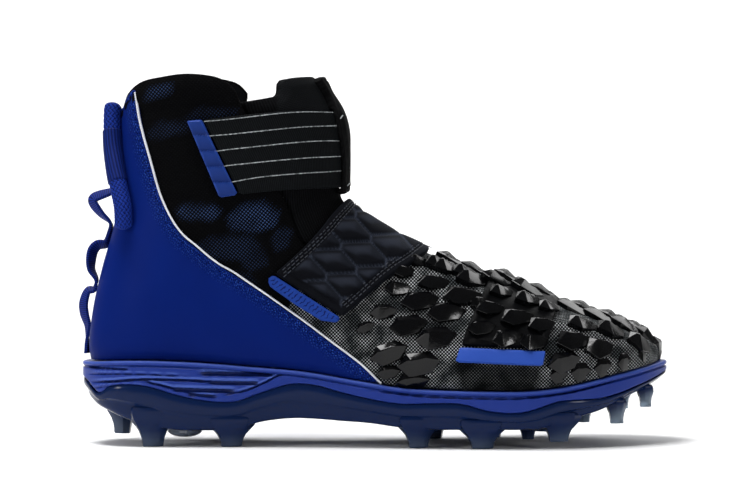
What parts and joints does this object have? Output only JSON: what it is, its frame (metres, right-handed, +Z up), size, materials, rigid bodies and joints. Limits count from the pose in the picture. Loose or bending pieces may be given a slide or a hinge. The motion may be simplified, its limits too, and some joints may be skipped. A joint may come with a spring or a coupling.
{
  "type": "american football cleat",
  "caption": "High-top american football cleat, right shoe: knitted bootie with straps over instep, ankle and forefoot, blue heel overlay, foam midsole and moulded studs.",
  "frame": {"origin": "middle of the shoe's box, on the floor under its studs", "axes": "+X towards the toe, +Y towards the inner side of the foot, +Z up"},
  "size_m": [0.2996, 0.105, 0.1871],
  "materials": {
    "outsole_plastic": "translucent navy moulding",
    "midsole_foam": "satin foam",
    "insole_foam": "knit-covered foam",
    "bootie_knit": "black mesh with a fine dot grid and glossy faceted lugs",
    "tongue_mesh": "dark grey mesh",
    "quarter_film": "smooth royal blue film",
    "piping_white": "matt white",
    "strap_knit": "black woven strap",
    "tab_plastic": "moulded blue tab",
    "rope_braid": "braided rope",
    "ribbon_weave": "woven ribbon"
  },
  "bodies": {
    "root": {"outsole": "outsole_plastic", "midsole": "midsole_foam", "insole": "insole_foam", "upper": "bootie_knit", "tongue": "tongue_mesh", "heel_quarter": "quarter_film", "quarter_piping_outer": "piping_white", "quarter_piping_inner": "piping_white", "ankle_strap": "strap_knit", "ankle_strap_tab": "tab_plastic", "front_shroud": "strap_knit", "midfoot_strap": "strap_knit", "midfoot_strap_tab": "tab_plastic", "forefoot_strap": "strap_knit", "forefoot_strap_tab": "tab_plastic", "pull_rope": "rope_braid", "pull_rope_sleeve": "rope_braid", "heel_ribbon": "ribbon_weave"}
  },
  "joints": []
}
